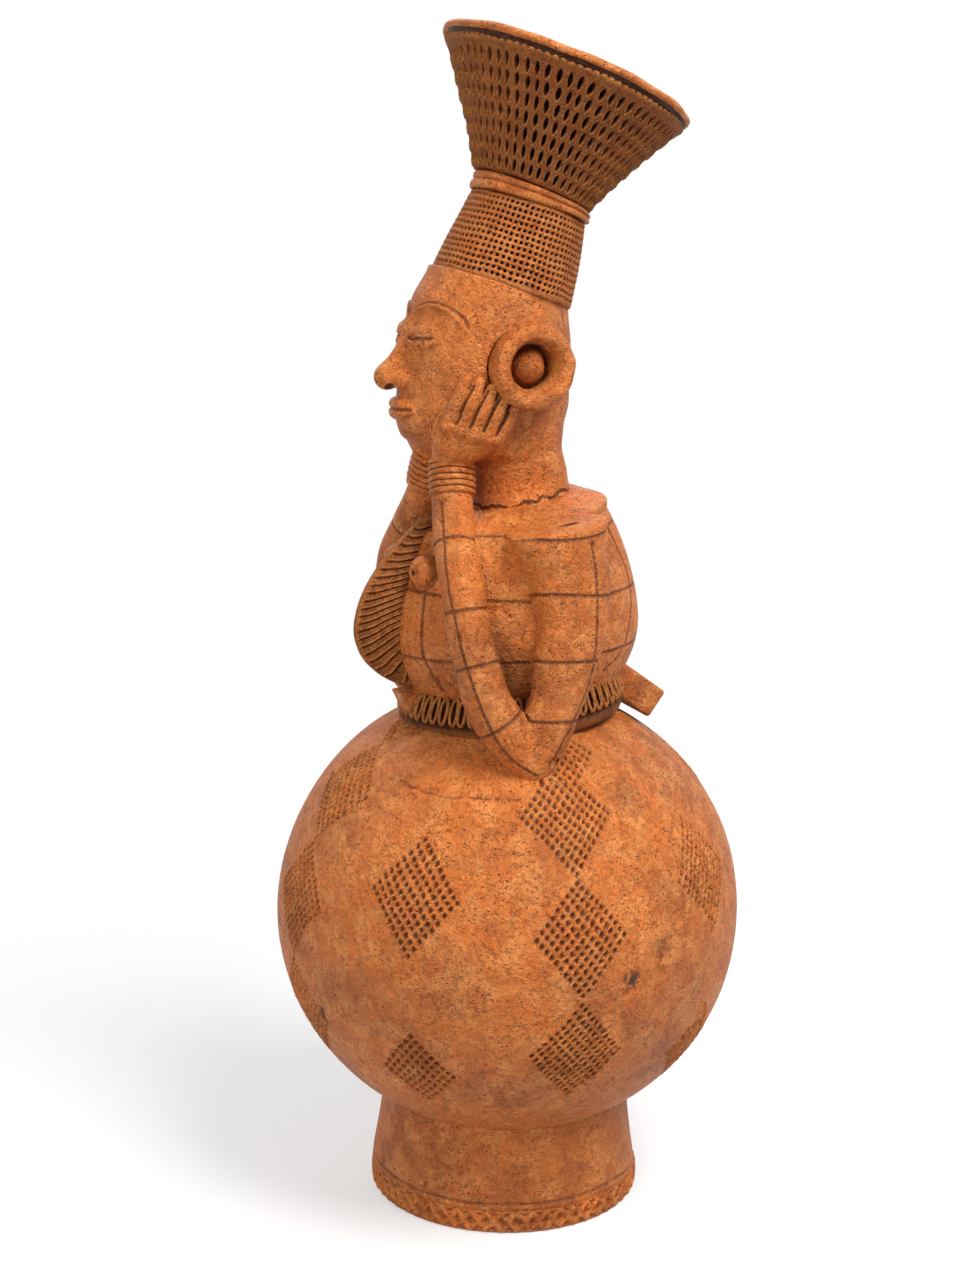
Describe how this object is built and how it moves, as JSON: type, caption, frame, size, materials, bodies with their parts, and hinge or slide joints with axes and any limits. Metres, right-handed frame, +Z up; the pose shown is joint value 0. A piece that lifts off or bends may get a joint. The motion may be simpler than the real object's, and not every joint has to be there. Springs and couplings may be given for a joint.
{
  "type": "figural pottery vessel",
  "caption": "Hollow terracotta vessel: globe on a flared foot ring, a half figure with hands on its cheeks, and a tall leaning headdress that opens as the mouth.",
  "frame": {"origin": "centre of the foot ring's base, on the floor", "axes": "+Z up through the globe's centre; the figure faces -Y and its left side is +X"},
  "size_m": [0.18, 0.18, 0.4494],
  "materials": {
    "clay": "matt unglazed terracotta, burnished by hand",
    "carved_clay": "matt unglazed terracotta, carved and darkened by handling"
  },
  "bodies": {
    "root": {"foot_ring": "clay", "globe": "clay", "torso": "clay", "rear_apron": "clay", "front_tab": "clay", "head": "clay", "nose": "clay", "upper_lip": "clay", "lower_lip": "clay", "left_arm": "clay", "right_arm": "clay", "left_bracelet": "clay", "right_bracelet": "clay", "left_hand": "clay", "right_hand": "clay", "left_nipple": "clay", "right_nipple": "clay", "left_upper_eyelid": "clay", "right_upper_eyelid": "clay", "left_lower_eyelid": "clay", "right_lower_eyelid": "clay", "left_ear_ring": "clay", "right_ear_ring": "clay", "left_ear_plug": "clay", "right_ear_plug": "clay", "headdress_collar": "clay", "headdress_rim": "clay", "foot_border": "carved_clay", "waist_belt": "carved_clay", "chest_panel": "carved_clay", "headdress_basket": "carved_clay", "headdress_flare": "carved_clay"}
  },
  "joints": []
}
